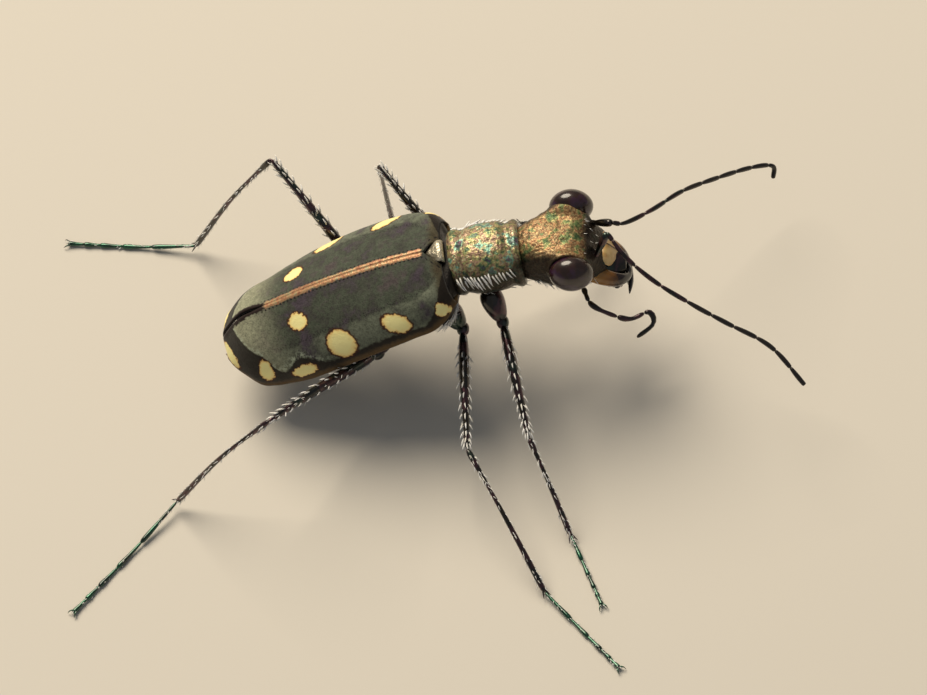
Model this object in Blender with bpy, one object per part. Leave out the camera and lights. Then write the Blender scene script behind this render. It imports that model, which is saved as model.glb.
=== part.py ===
"""A tiger beetle standing on its six feet, life size.

Sizes are in millimetres in the beetle's own frame: +X is the way it faces, +Y its left, +Z up, with
the floor at z = 0 and x = y = 0 at the front end of the seam between the wing cases. One empty turns
that frame to metres and brings the middle of the beetle's floor box to the origin.
"""
import math
from functools import lru_cache

import bmesh
import bpy
from mathutils import Vector

MM = 0.001
GAP = 0.11             # slot between neighbouring pieces
FLOOR_CENTRE = (-1.53, -4.42)   # middle of the beetle's box on the floor

# wing cases: their frame starts at the front of the seam and slopes down to the rear
SEAM_HEIGHT = 6.8      # front end of the seam above the floor
BACK_SLOPE = math.radians(20)
CASE_THICKNESS = 0.5
CASE_SQUARENESS = 2.4  # of the superellipse that the cross section follows; 2 is a plain ellipse
# distance back, half width, seam's height, side margin's height, slope of the roof beside the seam
WING_CASE = ((0.0, 1.75, 0.0, -1.15, 0.05), (0.3, 2.15, 0.12, -1.23, 0.07), (0.9, 2.48, 0.3, -1.35, 0.1),
             (2.0, 2.64, 0.48, -1.28, 0.14), (3.3, 2.68, 0.59, -1.3, 0.19), (4.6, 2.67, 0.64, -1.4, 0.26),
             (5.8, 2.6, 0.59, -1.58, 0.3), (6.9, 2.45, 0.48, -1.83, 0.31), (7.8, 2.22, 0.42, -2.0, 0.31),
             (8.5, 2.05, 0.34, -2.05, 0.3), (9.1, 1.83, 0.0, -1.9, 0.3), (9.4, 1.55, -0.23, -1.58, 0.3),
             (9.7, 1.22, -0.48, -1.2, 0.3), (10.0, 0.7, -0.78, -0.95, 0.3))
SCUTELLUM_LENGTH = 0.75
SCUTELLUM_HALF_WIDTH = 0.5
SCUTELLUM_FRONT = 0.24
SCUTELLUM_SHOULDER = 0.2   # length of its straight sides before they close to the point
SCUTELLUM_TOP = 6.77
SCUTELLUM_DEPTH = 0.32

# body under the wing cases, in their frame: distance back, height of the belly, half width of its floor
BELLY = ((0.75, -2.95, 1.3), (1.5, -3.1, 1.35), (2.4, -3.25, 1.5), (3.3, -3.25, 1.6), (4.2, -3.05, 1.6),
         (5.0, -2.75, 1.7), (5.8, -2.6, 1.7), (6.6, -2.55, 1.55), (7.5, -2.45, 1.3), (8.3, -2.2, 1.0),
         (8.9, -1.85, 0.7), (9.2, -1.55, 0.4))
CHEST_CUT = 1.5        # where the mesothorax ends and the metathorax starts
BELLY_CUT = 5.0        # where the metathorax ends and the abdomen starts
CHEST_START = 0.75     # where the body first meets the underside of the wing cases
WAIST = ((0.31, 0.95, 6.25, 4.3), (0.12, 1.1, 6.2, 4.0))   # forward, half width, top, bottom

# prothorax, and its girth along its length as shares of its full size: two cross grooves make the
# front rim and the base
PROTHORAX_BACK = 0.42
PROTHORAX_FRONT = 3.1
PROTHORAX_TOP = 6.86
PROTHORAX_BOTTOM = 4.35
PROTHORAX_HALF_WIDTH = 1.32
PROTHORAX_GIRTH = ((0, 0.86), (0.06, 0.92), (0.15, 0.93), (0.22, 0.9), (0.3, 0.98), (0.5, 1.0),
                   (0.7, 0.98), (0.82, 0.93), (0.88, 0.87), (0.94, 0.95), (1, 0.92))

# head: its frame starts at the middle of the neck
NECK = Vector((3.2, 0, 5.6))
HEAD_YAW = math.radians(-5)
HEAD_ROLL = math.radians(-4)
HEAD_PROFILE = ((0.0, 1.05, 1.05, -0.95), (0.45, 1.2, 1.2, -1.12), (1.0, 1.34, 1.27, -1.2),
                (1.6, 1.44, 1.26, -1.22), (2.2, 1.38, 1.14, -1.22), (2.62, 1.16, 0.82, -1.16),
                (2.9, 1.0, 0.4, -1.05), (3.06, 0.9, 0.08, -0.95))   # forward, half width, top, bottom
EYE_CENTRE = Vector((1.94, 1.55, 0.56))
EYE_SIZE = Vector((0.86, 0.62, 0.8))
# the brow, a ridge of the head that rims each eye: its rise, and its middle and reach forward and out
BROW_RISE = 0.36
BROW_FORWARD = (1.7, 0.8)
BROW_OUT = (1.12, 0.3)
LABRUM_PROFILE = ((3.2, 0.68, 0.02), (3.33, 0.75, -0.16), (3.46, 0.7, -0.38), (3.52, 0.5, -0.54))
LABRUM_HALF_THICKNESS = 0.16

# legs: root of the coxa inside the body, then hip, knee, ankle and toe
LEGS = {
    "fore_right": ((1.55, -0.7, 4.5), (1.9, -1.7, 3.5), (2.33, -6.41, 2.5), (3.3, -9.65, 0.42),
                   (4.2, -12.9, 0.2)),
    "fore_left": ((1.5, 0.7, 4.5), (1.7, 1.5, 3.5), (5.8, 2.2, 2.0), (2.7, 4.4, 0.42),
                  (0.0, 4.6, 0.2)),
    "middle_right": ((-0.2, -0.8, 3.95), (0.31, -1.5, 3.1), (-0.1, -6.46, 2.5), (2.06, -11.95, 0.42),
                     (4.63, -15.74, 0.2)),
    "middle_left": ((-0.2, 0.8, 3.95), (0.31, 1.5, 3.1), (-1.94, 4.49, 6.15), (-2.24, 5.23, 0.42),
                    (-6.3, 4.1, 0.2)),
    "hind_right": ((-2.5, -0.8, 3.1), (-3.15, -1.6, 2.4), (-7.32, -5.46, 5.3), (-11.76, -5.6, 0.6),
                   (-16.33, -9.65, 0.2)),
    "hind_left": ((-2.5, 0.8, 3.1), (-3.15, 1.6, 2.4), (-6.08, 5.46, 6.3), (-10.05, 5.6, 0.6),
                  (-15.2, 6.82, 0.2)),
}
LEG_SIDES = 8
FEELER_SIDES = 6
COXA_RADII = ((0, 0.5), (0.35, 0.52), (0.75, 0.36), (1, 0.27))
FEMUR_RADII = ((0, 0.25), (0.14, 0.3), (0.35, 0.32), (0.65, 0.29), (0.88, 0.27), (1, 0.22))
TIBIA_RADII = ((0, 0.21), (0.14, 0.27), (0.55, 0.27), (0.88, 0.27), (1, 0.25))
TARSUS_RADII = ((0, 0.25), (0.06, 0.27), (0.34, 0.27), (0.38, 0.24), (0.56, 0.27), (0.6, 0.24),
                (0.74, 0.27), (0.78, 0.24), (0.95, 0.26), (1, 0.16))
TIBIA_BOW = 0.25
SOLE_HEIGHT = 0.2      # a foot's middle line above the floor, where the floor flattens its sole

# feelers: root, elbow, then the whip's curve from the elbow to the tip
ANTENNA_RADIUS = 0.27
WHIP_CUT = 0.48        # share of the whip where its stem ends and its tip starts
ANTENNAE = {
    "right": ((6.05, -0.98, 6.42), (6.6, -0.52, 6.95), (7.2, -1.49, 6.5), (8.19, -2.47, 5.95),
              (9.48, -3.31, 5.2), (10.58, -3.94, 4.6), (12.1, -4.83, 3.8), (13.16, -6.25, 2.95)),
    "left": ((6.05, 0.5, 6.4), (6.8, 0.15, 6.5), (7.3, 0.2, 6.25), (8.35, 0.85, 5.8),
             (9.5, 1.85, 5.1), (10.7, 2.6, 4.35), (12.1, 3.4, 3.4), (12.95, 3.68, 2.8),
             (12.9, 3.4, 2.35)),
}

# mouth parts, in the head's frame
PALP_RADIUS = 0.25
PALPS = {
    "maxillary_palp_right": ((2.1, -0.85, -1.55), (2.43, -1.63, -1.6), (3.27, -1.97, -1.98),
                             (3.87, -2.03, -2.19), (4.55, -1.74, -2.26), (4.68, -2.1, -2.55),
                             (3.99, -2.43, -2.92)),
    "maxillary_palp_left": ((2.1, 0.85, -1.55), (2.4, 1.5, -1.75), (2.9, 1.62, -2.25),
                            (3.25, 1.2, -2.8), (3.1, 0.75, -3.3)),
    "labial_palp_right": ((2.55, -0.38, -1.52), (2.95, -0.47, -1.88), (3.3, -0.4, -2.25),
                          (3.45, -0.15, -2.6)),
    "labial_palp_left": ((2.55, 0.38, -1.52), (2.95, 0.52, -1.9), (3.3, 0.56, -2.35),
                         (3.5, 0.52, -2.75)),
}
MANDIBLES = {
    "right": ((3.3, -0.78, -0.84), (3.52, -1.02, -1.0), (3.82, -0.95, -1.2), (3.96, -0.5, -1.35),
              (3.85, -0.05, -1.4)),
    "left": ((3.3, 0.62, -0.9), (3.5, 0.6, -1.2), (3.78, 0.2, -1.52), (3.92, -0.4, -1.78),
             (3.86, -1.05, -1.88)),
}
MANDIBLE_RADII = ((0, 0.26), (0.3, 0.25), (0.6, 0.16), (0.85, 0.12), (1, 0.06))


def finish(name, colour, roughness, metallic):
    material = bpy.data.materials.new(name)
    material.use_nodes = True
    shader = material.node_tree.nodes["Principled BSDF"]
    shader.inputs["Base Color"].default_value = (*colour, 1)
    shader.inputs["Roughness"].default_value = roughness
    shader.inputs["Metallic"].default_value = metallic
    return material


def place(name, mesh, parent, origin, material):
    """Make the object from a mesh drawn in its parent's frame, with its own origin on it."""
    bmesh.ops.recalc_face_normals(mesh, faces=mesh.faces)
    bmesh.ops.translate(mesh, vec=-Vector(origin), verts=mesh.verts)
    data = bpy.data.meshes.new(name)
    mesh.to_mesh(data)
    mesh.free()
    data.shade_smooth()
    data.set_sharp_from_angle(angle=math.radians(40))
    data.materials.append(material)
    piece = bpy.data.objects.new(name, data)
    piece.parent = parent
    piece.location = origin
    bpy.context.collection.objects.link(piece)
    return piece


def skin(outlines):
    """A closed solid through a row of outlines that have the same number of points."""
    mesh = bmesh.new()
    end = mesh.faces.new([mesh.verts.new(point) for point in outlines[0]])
    first = end
    for outline in outlines[1:]:
        grown = bmesh.ops.extrude_face_region(mesh, geom=[end])["geom"]
        if end is not first:
            mesh.faces.remove(end)
        end = next(item for item in grown if isinstance(item, bmesh.types.BMFace))
        for vertex, point in zip(end.verts, outline):
            vertex.co = point
    return mesh


def keyed(table, at, column=1):
    """A value read from a short table, in a straight line between its rows."""
    if at <= table[0][0]:
        return table[0][column]
    for low, high in zip(table, table[1:]):
        if at <= high[0]:
            share = (at - low[0]) / (high[0] - low[0])
            return low[column] + (high[column] - low[column]) * share
    return table[-1][column]


@lru_cache(maxsize=None)
def curve_through(points, steps=12):
    """Points along a smooth curve through a few points, with the length run at each."""
    ends = (2 * Vector(points[0]) - Vector(points[1]), 2 * Vector(points[-1]) - Vector(points[-2]))
    posts = [ends[0], *(Vector(point) for point in points), ends[1]]
    run = []
    for a, b, c, d in zip(posts, posts[1:], posts[2:], posts[3:]):
        for step in range(steps):
            t = step / steps
            run.append(0.5 * (2 * b + (c - a) * t + (2 * a - 5 * b + 4 * c - d) * t ** 2
                              + (3 * b - a - 3 * c + d) * t ** 3))
    run.append(posts[-2])
    lengths = [0.0]
    for near, far in zip(run, run[1:]):
        lengths.append(lengths[-1] + (far - near).length)
    return run, lengths


def along(points, share):
    """Place and direction at a share of the curve's length."""
    run, lengths = curve_through(tuple(tuple(point) for point in points))
    goal = share * lengths[-1]
    index = next((i for i, length in enumerate(lengths[1:]) if length >= goal), len(run) - 2)
    span = lengths[index + 1] - lengths[index]
    here = run[index].lerp(run[index + 1], (goal - lengths[index]) / span)
    before, after = max(index - 1, 0), min(index + 2, len(run) - 1)
    return here, (run[after] - run[before]).normalized()


def tube(points, radii, sides, span=(0, 1), cuts=(None, None)):
    """A solid of round section along a curve; a cut is the plane (point, normal) that ends it."""
    chord = Vector(points[-1]) - Vector(points[0])
    level = chord.cross(Vector((0, 0, 1))).normalized()
    outlines = []
    for place_along, radius in radii:
        here, onward = along(points, span[0] + (span[1] - span[0]) * place_along)
        upward = level.cross(onward).normalized()
        across = onward.cross(upward).normalized()
        ring = []
        for side in range(sides):
            turn = 2 * math.pi * (side + 0.5) / sides
            ring.append(here + radius * (across * math.cos(turn) + upward * math.sin(turn)))
        cut = cuts[0] if place_along == 0 else cuts[1] if place_along == 1 else None
        if cut:
            point, normal = cut
            ring = [spot + onward * ((point - spot).dot(normal) / onward.dot(normal)) for spot in ring]
        outlines.append(ring)
    return skin(outlines)


def arch(half, top, low, roof, turn):
    """Distance out and height of a wing case's section, by the turn from the seam to the margin."""
    out = half * max(math.sin(turn), 0) ** (2 / CASE_SQUARENESS)
    rise = max(math.cos(turn), 0) ** (2 / CASE_SQUARENESS)
    return out, top - roof * out - (top - low - roof * half) * (1 - rise)


def on_back(back, side, height):
    """A point of the wing cases' frame: distance back from the seam's front end, left, up."""
    forward = Vector((math.cos(BACK_SLOPE), 0, math.sin(BACK_SLOPE)))
    upward = Vector((-math.sin(BACK_SLOPE), 0, math.cos(BACK_SLOPE)))
    return Vector((0, side, SEAM_HEIGHT)) - back * forward + height * upward


def wing_case(side):
    """One wing case: a curved plate from the seam to the side margin; side is +1 for the left."""
    fan = [math.radians(10 * step) for step in range(10)]
    outlines = []
    for back, half, top, low, roof in WING_CASE:
        half -= GAP / 2
        wall = min(CASE_THICKNESS, 0.4 * half)
        inner_top = top - min(CASE_THICKNESS, 0.6 * (top - low))
        outer = [arch(half, top, low, roof, turn) for turn in fan]
        inner = [arch(half - wall, inner_top, low, roof, turn) for turn in reversed(fan[::3])]
        outlines.append([on_back(back, side * (GAP / 2 + out), up) for out, up in outer + inner])
    return skin(outlines)


def under_case(back, floor, half_floor, sides=20):
    """Outline of the body under the wing cases, with a rounded belly down to the given height."""
    half = keyed(WING_CASE, back) - CASE_THICKNESS - GAP
    top = keyed(WING_CASE, back, 2) - CASE_THICKNESS - GAP
    low = max(keyed(WING_CASE, back, 3), floor + 0.3)
    outline = []
    for step in range(sides):
        turn = 2 * math.pi * step / sides
        out, up = math.sin(turn), math.cos(turn)
        if up >= 0:
            far, rise = arch(half, top, low, keyed(WING_CASE, back, 4), math.asin(abs(out)))
            outline.append(on_back(back, math.copysign(far, out), rise))
        else:
            belly = half_floor + (half - half_floor) * (1 - abs(up) ** 1.5)
            outline.append(on_back(back, belly * out, low + (low - floor) * up))
    return outline


def upright(forward, half, top, bottom, sides, squareness=2.2):
    """A rounded upright outline across the body, by its half width, top and bottom."""
    middle = (top + bottom) / 2
    outline = []
    for step in range(sides):
        turn = 2 * math.pi * step / sides
        out, up = math.sin(turn), math.cos(turn)
        out = math.copysign(abs(out) ** (2 / squareness), out)
        up = math.copysign(abs(up) ** (2 / squareness), up)
        outline.append(Vector((forward, half * out, middle + (top - middle) * up)))
    return outline


def mesothorax():
    """The short ring between the prothorax and the wing cases, with its sternum below."""
    waist = [upright(*row, 20) for row in WAIST]
    return skin([*waist, *belly_between(CHEST_START, CHEST_CUT)])


def belly_between(start, stop):
    """Outlines of the body under the wing cases between two distances back from the seam's front."""
    backs = [start, *(back for back, _, _ in BELLY if start < back < stop), stop]
    return [under_case(back, keyed(BELLY, back), keyed(BELLY, back, 2)) for back in backs]


def metathorax():
    return skin(belly_between(CHEST_CUT + GAP, BELLY_CUT))


def abdomen():
    return skin(belly_between(BELLY_CUT + GAP, BELLY[-1][0]))


def scutellum():
    """The small three-cornered plate between the front ends of the wing cases."""
    front, half = SCUTELLUM_FRONT, SCUTELLUM_HALF_WIDTH
    shoulder, point = front - SCUTELLUM_SHOULDER, front - SCUTELLUM_LENGTH
    corners = ((front, half), (front, -half), (shoulder, -half), (point, 0), (shoulder, half))
    top = [Vector((x, y, SCUTELLUM_TOP + min(x, 0) * math.sin(BACK_SLOPE))) for x, y in corners]
    return skin([top, [corner - Vector((0, 0, SCUTELLUM_DEPTH)) for corner in top]])


def prothorax():
    """A barrel with a groove behind its front rim and one before its base, shallower below."""
    middle = (PROTHORAX_TOP + PROTHORAX_BOTTOM) / 2
    half_height = (PROTHORAX_TOP - PROTHORAX_BOTTOM) / 2
    rows = []
    for share, size in PROTHORAX_GIRTH:
        forward = PROTHORAX_BACK + share * (PROTHORAX_FRONT - PROTHORAX_BACK)
        top = middle + half_height * size
        bottom = middle - half_height * (1 + size) / 2
        rows.append(upright(forward, PROTHORAX_HALF_WIDTH * size, top, bottom, 22))
    return skin(rows)


def brow_rise(point):
    """How far a point of the head's upper side is lifted by the brows."""
    along_eye = math.exp(-((point.x - BROW_FORWARD[0]) / BROW_FORWARD[1]) ** 2)
    across = math.exp(-((abs(point.y) - BROW_OUT[0]) / BROW_OUT[1]) ** 2)
    return BROW_RISE * along_eye * across if point.z > 0 else 0


def head():
    rows = [upright(forward, half, top, bottom, 24) for forward, half, top, bottom in HEAD_PROFILE]
    for row in rows:
        for point in row:
            point.z += brow_rise(point)
    return skin(rows)


def eye(side):
    mesh = bmesh.new()
    bmesh.ops.create_uvsphere(mesh, u_segments=16, v_segments=10, radius=1)
    bmesh.ops.scale(mesh, vec=EYE_SIZE, verts=mesh.verts)
    bmesh.ops.translate(mesh, vec=(EYE_CENTRE.x, side * EYE_CENTRE.y, EYE_CENTRE.z), verts=mesh.verts)
    return mesh


def labrum():
    """The upper lip: a shield that slopes down in front of the mandibles."""
    rows = []
    slope = Vector((LABRUM_PROFILE[-1][0] - LABRUM_PROFILE[0][0], 0,
                    LABRUM_PROFILE[-1][2] - LABRUM_PROFILE[0][2])).normalized()
    outward = Vector((-slope.z, 0, slope.x))
    for forward, half, height in LABRUM_PROFILE:
        row = []
        for step in range(14):
            turn = 2 * math.pi * step / 14
            sag = 0.12 * math.sin(turn) ** 2
            row.append(Vector((forward, half * math.sin(turn), height))
                       + outward * (LABRUM_HALF_THICKNESS * math.cos(turn) - sag))
        rows.append(row)
    return skin(rows)


def swollen(mesh, by):
    """Push every point of a mesh outward."""
    mesh.normal_update()
    moves = [(vertex, vertex.normal * by) for vertex in mesh.verts]
    for vertex, move in moves:
        vertex.co += move
    return mesh


def socket(host, cutter_mesh, parent, name):
    """Hollow a piece where another sits in it, with the slot between them."""
    bmesh.ops.recalc_face_normals(cutter_mesh, faces=cutter_mesh.faces)
    cutter = place(name, swollen(cutter_mesh, GAP), parent, (0, 0, 0), host.data.materials[0])
    cutter.hide_render = True
    cutter.display_type = "WIRE"
    hollow = host.modifiers.new(name, "BOOLEAN")
    hollow.operation = "DIFFERENCE"
    hollow.object = cutter


def leg_parts(points):
    """The four pieces of one leg, each with its curve, radii and end planes."""
    coxa_root, hip, knee, ankle, toe = (Vector(point) for point in points)
    shin = (knee + ankle) / 2 + Vector((0, 0, TIBIA_BOW))
    sole = ankle.lerp(toe, 0.45)
    sole.z = SOLE_HEIGHT
    toe.z = SOLE_HEIGHT
    curves = {
        "coxa": (coxa_root, hip),
        "femur": (hip, knee),
        "tibia": (knee, shin, ankle),
        "tarsus": (ankle, sole, toe),
    }
    radii = {"coxa": COXA_RADII, "femur": FEMUR_RADII, "tibia": TIBIA_RADII, "tarsus": TARSUS_RADII}
    names = list(curves)
    planes = {}
    for near, far in zip(names, names[1:]):
        joint = Vector(curves[near][-1])
        normal = (along(curves[near], 1)[1] + along(curves[far], 0)[1]).normalized()
        planes[near, far] = (joint - normal * GAP / 2, normal)
        planes[far, near] = (joint + normal * GAP / 2, normal)
    for index, name in enumerate(names):
        before = planes.get((name, names[index - 1])) if index else None
        after = planes.get((name, names[index + 1])) if name != "tarsus" else None
        yield name, curves[name], radii[name], (before, after)


def level_sole(mesh):
    """Flatten whatever part of a foot lies below the floor onto it."""
    for vertex in mesh.verts:
        vertex.co.z = max(vertex.co.z, 0)
    return mesh


def build_legs(beetle, hosts, material):
    for leg, points in LEGS.items():
        for name, curve, radii, cuts in leg_parts(points):
            mesh = tube(curve, radii, LEG_SIDES, cuts=cuts)
            if name == "coxa":
                socket(hosts[leg.split("_")[0]], mesh.copy(), beetle, f"cut_{leg}_coxa")
            place(f"{leg}_{name}", level_sole(mesh), beetle, curve[0], material)


def antenna_parts(points):
    """A feeler's scape, stem and tip, each with its curve, rings, span of the curve and end planes."""
    scape, whip = points[:2], points[1:]
    elbow = Vector(points[1])
    normal = (along(scape, 1)[1] + along(whip, 0)[1]).normalized()
    slot = GAP / 2 / curve_through(whip)[1][-1]
    yield "scape", scape, 1, (0, 1), (None, (elbow - normal * GAP / 2, normal))
    yield "stem", whip, 10, (0, WHIP_CUT - slot), ((elbow + normal * GAP / 2, normal), None)
    yield "tip", whip, 12, (WHIP_CUT + slot, 1), (None, None)


def build_antennae(beetle, material):
    for side, points in ANTENNAE.items():
        for name, curve, rings, span, cuts in antenna_parts(points):
            radii = [(step / rings, ANTENNA_RADIUS) for step in range(rings + 1)]
            mesh = tube(curve, radii, FEELER_SIDES, span, cuts)
            place(f"antenna_{side}_{name}", mesh, beetle, along(curve, span[0])[0], material)


def build_mouth(frame, finishes):
    place("labrum", labrum(), frame, (LABRUM_PROFILE[0][0], 0, 0), finishes["ivory"])
    for side, points in MANDIBLES.items():
        mesh = tube(points, MANDIBLE_RADII, LEG_SIDES)
        place(f"mandible_{side}", mesh, frame, points[0], finishes["ivory"])
    for name, points in PALPS.items():
        rings = 3 * len(points)
        radii = [(step / rings, PALP_RADIUS) for step in range(rings + 1)]
        place(name, tube(points, radii, FEELER_SIDES), frame, points[0], finishes["leg"])


def build_head(beetle, finishes):
    frame = bpy.data.objects.new("head_frame", None)
    frame.parent = beetle
    frame.location = NECK
    frame.rotation_euler = (HEAD_ROLL, 0, HEAD_YAW)
    bpy.context.collection.objects.link(frame)
    skull = place("head", head(), frame, (0, 0, 0), finishes["bronze"])
    for side, name in ((1, "left"), (-1, "right")):
        socket(skull, eye(side), frame, f"cut_eye_{name}")
        place(f"eye_{name}", eye(side), frame, (EYE_CENTRE.x, side * EYE_CENTRE.y, EYE_CENTRE.z),
              finishes["eye"])
    build_mouth(frame, finishes)


def build_trunk(beetle, finishes):
    plate = place("scutellum", scutellum(), beetle, (0, 0, SEAM_HEIGHT), finishes["bronze"])
    for side, name in ((1, "left"), (-1, "right")):
        case = place(f"elytron_{name}", wing_case(side), beetle, (0, 0, SEAM_HEIGHT), finishes["velvet"])
        socket(case, scutellum(), beetle, f"cut_scutellum_{name}")
    trunk = {}
    trunk["fore"] = place("prothorax", prothorax(), beetle, (PROTHORAX_BACK, 0, 5.6), finishes["bronze"])
    trunk["middle"] = place("mesothorax", mesothorax(), beetle, (0, 0, 5), finishes["bronze"])
    trunk["hind"] = place("metathorax", metathorax(), beetle, on_back(2, 0, -2), finishes["bronze"])
    place("abdomen", abdomen(), beetle, on_back(6, 0, -1), finishes["bronze"])
    return trunk


def main():
    for old in list(bpy.data.objects):
        bpy.data.objects.remove(old)
    finishes = {
        "velvet": finish("Velvety black-green wing case", (0.045, 0.052, 0.042), 0.75, 0.0),
        "bronze": finish("Rugose coppery bronze cuticle", (0.16, 0.11, 0.055), 0.35, 0.8),
        "eye": finish("Glossy purple-brown eye", (0.045, 0.022, 0.03), 0.12, 0.0),
        "ivory": finish("Ivory horn", (0.72, 0.6, 0.34), 0.3, 0.0),
        "leg": finish("Dark metallic leg", (0.05, 0.045, 0.04), 0.28, 0.7),
    }
    beetle = bpy.data.objects.new("beetle", None)
    beetle.scale = (MM, MM, MM)
    beetle.location = (-FLOOR_CENTRE[0] * MM, -FLOOR_CENTRE[1] * MM, 0)
    bpy.context.collection.objects.link(beetle)
    trunk = build_trunk(beetle, finishes)
    build_head(beetle, finishes)
    build_legs(beetle, trunk, finishes["leg"])
    build_antennae(beetle, finishes["leg"])


main()
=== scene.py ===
"""The looks of a life-size tiger beetle.

Sizes are in millimetres in the beetle's own frame: +X is the way it faces, +Y its left, +Z up, with the
floor at z = 0 and x = y = 0 at the front end of the seam between the wing cases. The function world turns
them to metres in the row's frame. A surface is a function of u and v, each from 0 to 1, that takes and
gives arrays; a grid of faces is laid on it.
"""
import math
from functools import partial
from itertools import pairwise, repeat

import bmesh
import bpy
import numpy as np
from mathutils import Matrix, Vector

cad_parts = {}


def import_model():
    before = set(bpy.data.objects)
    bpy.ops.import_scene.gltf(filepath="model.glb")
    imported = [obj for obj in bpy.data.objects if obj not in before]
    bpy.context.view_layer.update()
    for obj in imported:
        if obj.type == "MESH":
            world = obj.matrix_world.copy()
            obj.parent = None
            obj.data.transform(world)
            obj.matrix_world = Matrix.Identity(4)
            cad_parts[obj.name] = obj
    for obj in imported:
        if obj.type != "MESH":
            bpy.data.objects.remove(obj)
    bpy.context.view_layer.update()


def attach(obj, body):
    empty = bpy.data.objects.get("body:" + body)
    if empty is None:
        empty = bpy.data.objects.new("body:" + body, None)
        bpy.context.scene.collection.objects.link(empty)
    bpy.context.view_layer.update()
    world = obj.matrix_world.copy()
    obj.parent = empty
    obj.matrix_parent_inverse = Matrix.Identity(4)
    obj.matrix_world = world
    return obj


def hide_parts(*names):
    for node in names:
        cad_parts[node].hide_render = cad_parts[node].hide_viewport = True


MM = 0.001
WELD = 1e-8                    # m; vertices nearer than this are one
POLE = 0.03                    # share of a closed grid's v that is drawn in to the pole at each end
FLOOR_CENTRE = np.array([-1.53, -4.42, 0.0])   # middle of the beetle's box on the floor

# the camera: its line of sight in the beetle's frame, the point at the middle of the picture, and scale
SIGHT_RIGHT = (0.984, -0.095, -0.149)
SIGHT_UP = (0.156, 0.865, 0.477)
SIGHT_MIDDLE = np.array([0.418, -3.341, 4.859])
CAMERA_DISTANCE = 500
PICTURE_WIDTH = 35.65          # mm across the picture at the beetle
SENSOR_WIDTH = 36

# wing cases: their frame starts at the front of the seam and slopes down to the rear
SEAM_HEIGHT = 6.8
BACK_SLOPE = math.radians(20)
CASE_LENGTH = 10.0
CASE_SQUARENESS = 2.4
CASE_WALL = 0.12
CASE_FOLD = 0.88               # share of the grid before the margin, where the case folds under
FOLD_REACH = 0.42
PIT_SPACING = 0.17             # pits in a row beside the seam, and how far out they are
PIT_OUT = 0.21
# distance back, half width, seam's height, side margin's height, slope of the roof beside the seam
WING_CASE = ((0.0, 1.75, 0.0, -1.15, 0.05), (0.3, 2.15, 0.12, -1.23, 0.07), (0.9, 2.48, 0.3, -1.35, 0.1),
             (2.0, 2.64, 0.48, -1.28, 0.14), (3.3, 2.68, 0.59, -1.3, 0.19), (4.6, 2.67, 0.64, -1.4, 0.26),
             (5.8, 2.6, 0.59, -1.58, 0.3), (6.9, 2.45, 0.48, -1.83, 0.31), (7.8, 2.22, 0.42, -2.0, 0.31),
             (8.5, 2.05, 0.34, -2.05, 0.3), (9.1, 1.83, 0.0, -1.9, 0.3), (9.4, 1.55, -0.23, -1.58, 0.3),
             (9.7, 1.22, -0.48, -1.2, 0.3), (10.0, 0.7, -0.78, -0.95, 0.3))
# spots on a wing case: distance back, distance out from the seam over the shell, half length, half width,
# turn in degrees from the line of the seam
SPOTS_ON_BOTH = ((0.43, 2.36, 0.43, 0.17, 66), (6.77, 3.06, 0.6, 0.27, 0), (8.35, 2.44, 0.52, 0.31, 75),
                 (9.7, 0.83, 0.74, 0.17, 108))
SPOTS = {
    "right": ((2.25, 2.52, 0.58, 0.37, -31), (4.72, 2.57, 0.62, 0.54, -50), (6.18, 1.12, 0.4, 0.33, -18)),
    "left": ((2.2, 2.36, 0.6, 0.35, -31), (4.8, 2.5, 0.64, 0.42, -28), (6.18, 1.18, 0.41, 0.36, -26)),
}
# the border of the disc, where a wing case turns to its steep side and its painted shade begins: distance
# back, distance from the margin
DISC_BORDER = ((0.0, 1.5), (0.45, 0.9), (0.9, 0.6), (2.4, 0.58), (4.2, 0.55), (5.2, 0.55), (5.9, 0.72),
               (6.4, 1.1), (6.9, 1.15), (7.4, 0.86), (7.8, 0.86), (8.15, 1.6), (8.6, 2.0), (9.0, 2.5),
               (9.4, 3.0), (10.0, 3.0))
SCUTELLUM_HALF_WIDTH = 0.5
SCUTELLUM_FRONT = 0.24
SCUTELLUM_REAR = -0.51
SCUTELLUM_TOP = 6.8
SCUTELLUM_WALL = 0.15

# body under the wing cases, in their frame: distance back, height of the belly, half width of its floor
BELLY = ((0.75, -2.95, 1.3), (1.5, -3.1, 1.35), (2.4, -3.25, 1.5), (3.3, -3.25, 1.6), (4.2, -3.05, 1.6),
         (5.0, -2.75, 1.7), (5.8, -2.6, 1.7), (6.6, -2.55, 1.55), (7.5, -2.45, 1.3), (8.3, -2.2, 1.0),
         (8.9, -1.85, 0.7), (9.2, -1.55, 0.4))
# body between the prothorax and the wing cases: forward, half width, top, bottom
WAIST = ((0.46, 1.15, 6.6, 4.3), (0.26, 1.72, 6.56, 4.1), (0.02, 2.05, 6.46, 3.95), (-0.3, 2.15, 6.35, 3.85))
UNDER_CASE = 0.4               # room between the outer face of a wing case and the body below

PROTHORAX_BACK = 0.36
PROTHORAX_FRONT = 3.14
PROTHORAX_TOP = 6.9
PROTHORAX_BOTTOM = 4.35
PROTHORAX_HALF_WIDTH = 1.32
PROTHORAX_GIRTH = ((0, 0.84), (0.05, 0.93), (0.13, 0.95), (0.2, 0.9), (0.28, 0.955), (0.42, 1.0), (0.6, 1.0),
                   (0.74, 0.98), (0.85, 0.9), (0.9, 0.955), (0.96, 0.965), (1, 0.9))

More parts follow.
